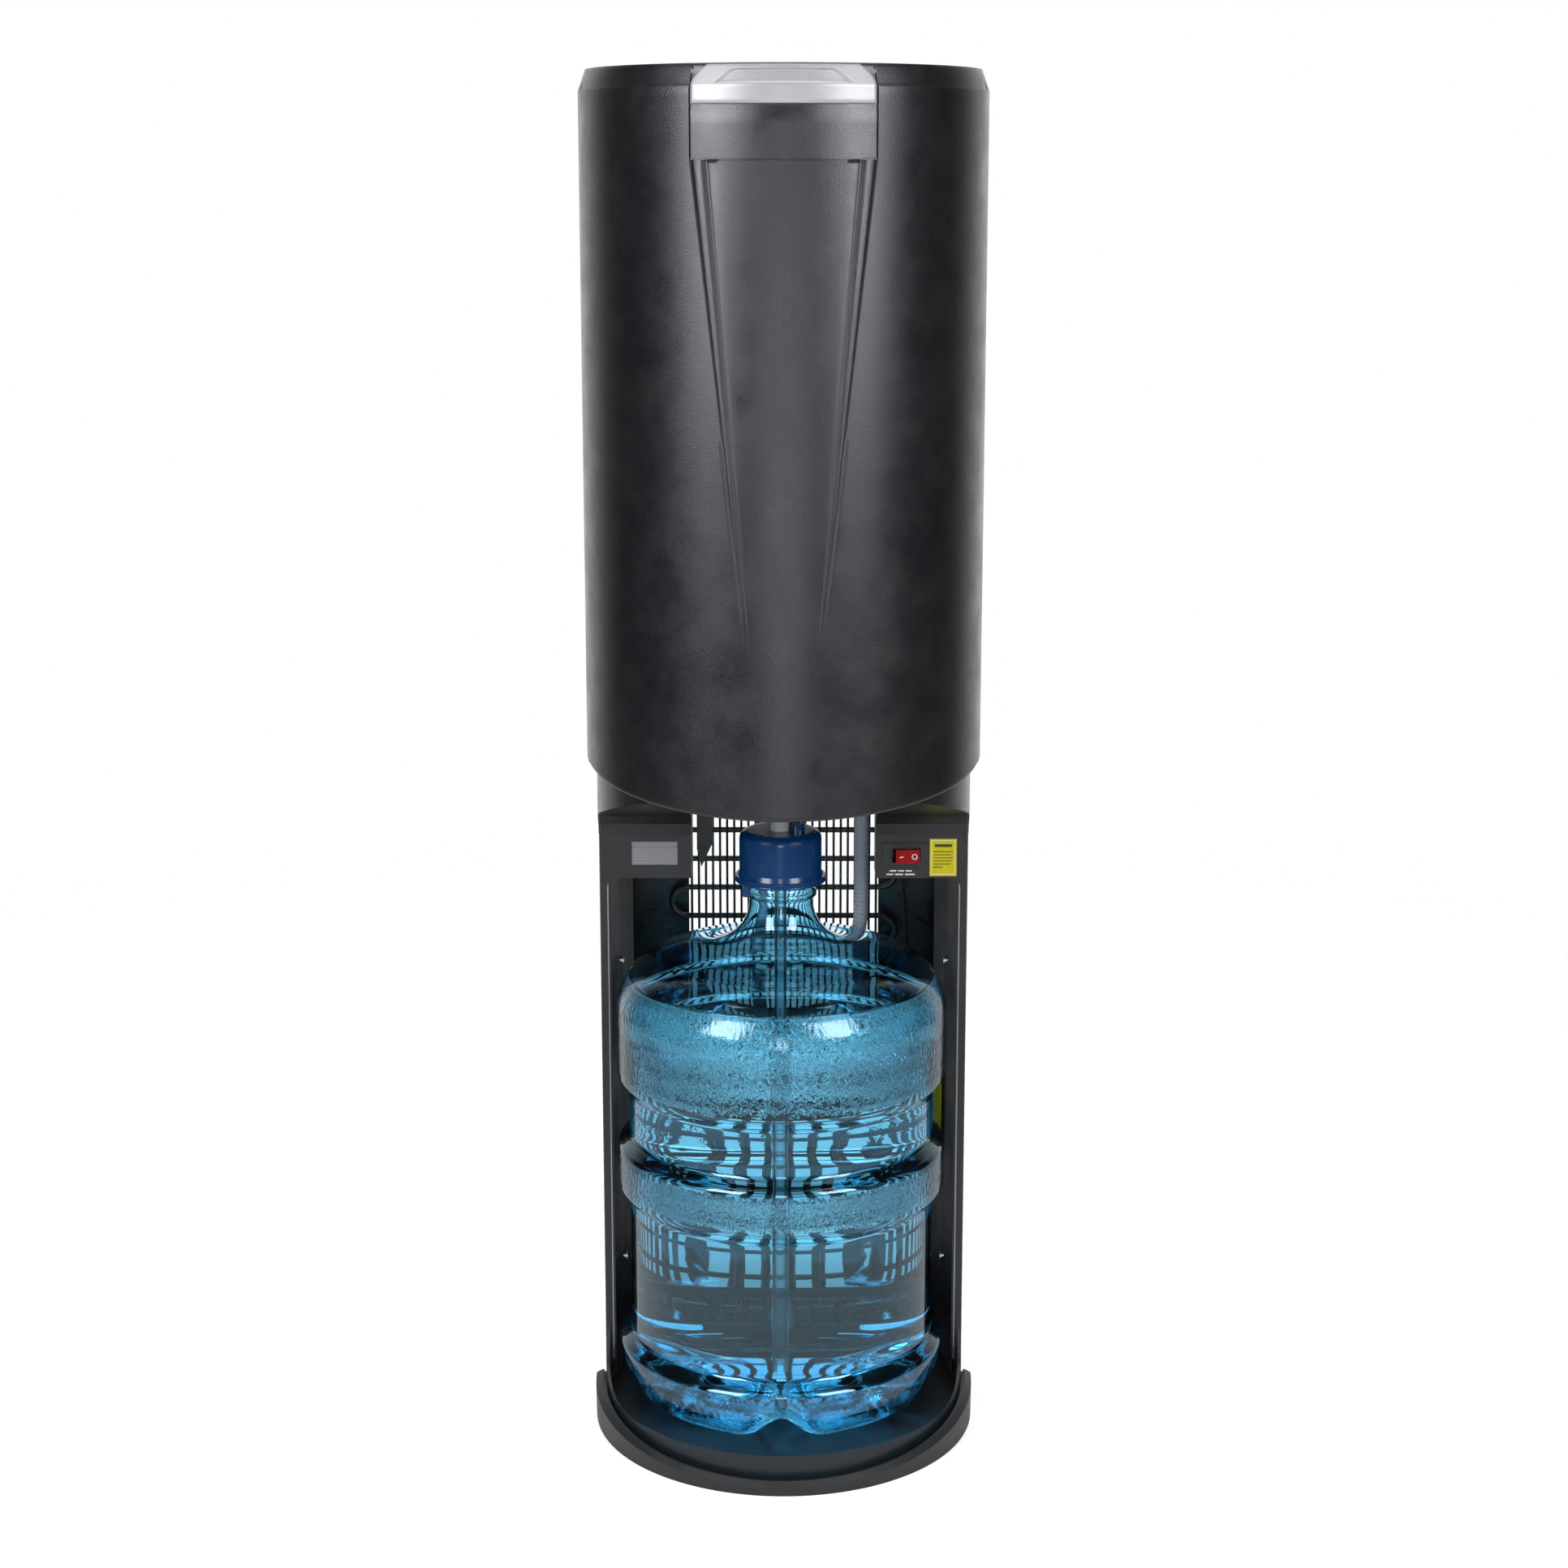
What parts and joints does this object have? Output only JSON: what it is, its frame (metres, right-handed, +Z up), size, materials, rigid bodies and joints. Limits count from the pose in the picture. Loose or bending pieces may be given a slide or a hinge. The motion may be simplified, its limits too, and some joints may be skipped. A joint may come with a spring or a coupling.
{
  "type": "bottom-loading water dispenser",
  "caption": "Floor-standing bottom-loading water dispenser: half-round door raised over the dispensing section, bottle, probe cap and hose, rear condenser.",
  "frame": {"origin": "on the floor, on the axis of the half-round front", "axes": "+Z up, front faces -Y, +X to the right of someone facing the front"},
  "size_m": [0.316, 0.361, 1.103],
  "materials": {
    "dark_plastic": "fine-grain textured",
    "door_plastic": "fine-grain textured, satin",
    "side_paint": "powder coat",
    "black_steel": "black enamel",
    "black_rubber": "matt",
    "steel": "brushed",
    "silver_trim": "satin silver",
    "rail_metal": "mill",
    "zinc_sheet": "zinc plated",
    "red_switch": "gloss",
    "yellow_label": "printed vinyl",
    "black_plastic": "semi gloss",
    "grey_plastic": "moulded",
    "blue_button": "gloss",
    "cap_blue": "gloss",
    "lamp": "clear",
    "foam": "expanded foam",
    "copper": "drawn",
    "clear_tube": "silicone",
    "board_green": "solder mask",
    "hose_grey": "corrugated",
    "bottle_blue": "clear blue, hammered bands",
    "water": "clear",
    "runner_white": "acetal"
  },
  "bodies": {
    "cabinet": {"base_ring": "dark_plastic", "base_pan": "black_steel", "bottle_tray": "dark_plastic", "rear_feet": "black_rubber", "side_panel_left": "side_paint", "side_panel_right": "side_paint", "back_panel": "black_steel", "condenser_tube": "black_steel", "condenser_wires": "black_steel", "condenser_brackets": "black_steel", "bay_frame_left": "dark_plastic", "bay_frame_right": "dark_plastic", "bay_liner_left": "dark_plastic", "bay_liner_right": "dark_plastic", "liner_screws": "steel", "indicator_window": "silver_trim", "switch_bezel": "dark_plastic", "notice_label": "yellow_label", "upper_front": "door_plastic", "alcove_liner": "black_plastic", "control_panel": "black_plastic", "dispensing_spouts": "silver_trim", "indicator_lights": "lamp", "top_cover": "door_plastic", "equipment_shelf": "zinc_sheet", "compressor": "black_steel", "compressor_feet": "black_rubber", "cold_tank": "steel", "cold_insulation": "foam", "hot_tank": "steel", "heater_band": "copper", "water_pump": "black_plastic", "filter_dryer": "copper", "refrigerant_lines": "copper", "water_lines": "clear_tube", "control_board": "board_green", "probe_cap": "cap_blue", "probe_tube": "clear_tube", "cap_elbow": "grey_plastic", "probe_hose": "hose_grey", "hose_gland": "grey_plastic", "bottle": "bottle_blue", "bottle_water": "water", "power_inlet": "black_plastic", "switch_cable": "black_rubber", "guide_rails": "rail_metal"},
    "door": {"door_panel": "door_plastic", "door_edge_left": "door_plastic", "door_edge_right": "door_plastic", "door_handle": "silver_trim", "door_insert": "door_plastic", "door_plug": "dark_plastic", "door_runners": "runner_white"},
    "switch_rocker": {"power_switch": "red_switch"},
    "hot_button": {"button_hot": "red_switch"},
    "room_button": {"button_room": "grey_plastic"},
    "cold_button": {"button_cold": "blue_button"},
    "drip_catcher": {"drip_tray": "dark_plastic", "drip_grille": "silver_trim"}
  },
  "joints": [
    {"name": "door_slide", "type": "slide", "parent": "cabinet", "child": "door", "axis": [0, 0, 1], "range_m": [-0.536, 0]},
    {"name": "rocker_tilt", "type": "hinge", "parent": "cabinet", "child": "switch_rocker", "pos_m": [0.1, 0.0085, 0.4812], "axis": [0, 0, 1], "range_deg": [-14, 0]},
    {"name": "hot_press", "type": "slide", "parent": "cabinet", "child": "hot_button", "axis": [0, 1, 0], "range_m": [0, 0.003], "stiffness_N_per_m": 400, "springref_m": -0.002},
    {"name": "room_press", "type": "slide", "parent": "cabinet", "child": "room_button", "axis": [0, 1, 0], "range_m": [0, 0.003], "stiffness_N_per_m": 400, "springref_m": -0.002},
    {"name": "cold_press", "type": "slide", "parent": "cabinet", "child": "cold_button", "axis": [0, 1, 0], "range_m": [0, 0.003], "stiffness_N_per_m": 400, "springref_m": -0.002},
    {"name": "drip_tray_lift", "type": "slide", "parent": "cabinet", "child": "drip_catcher", "axis": [0, 0, 1], "range_m": [0, 0.015]}
  ]
}
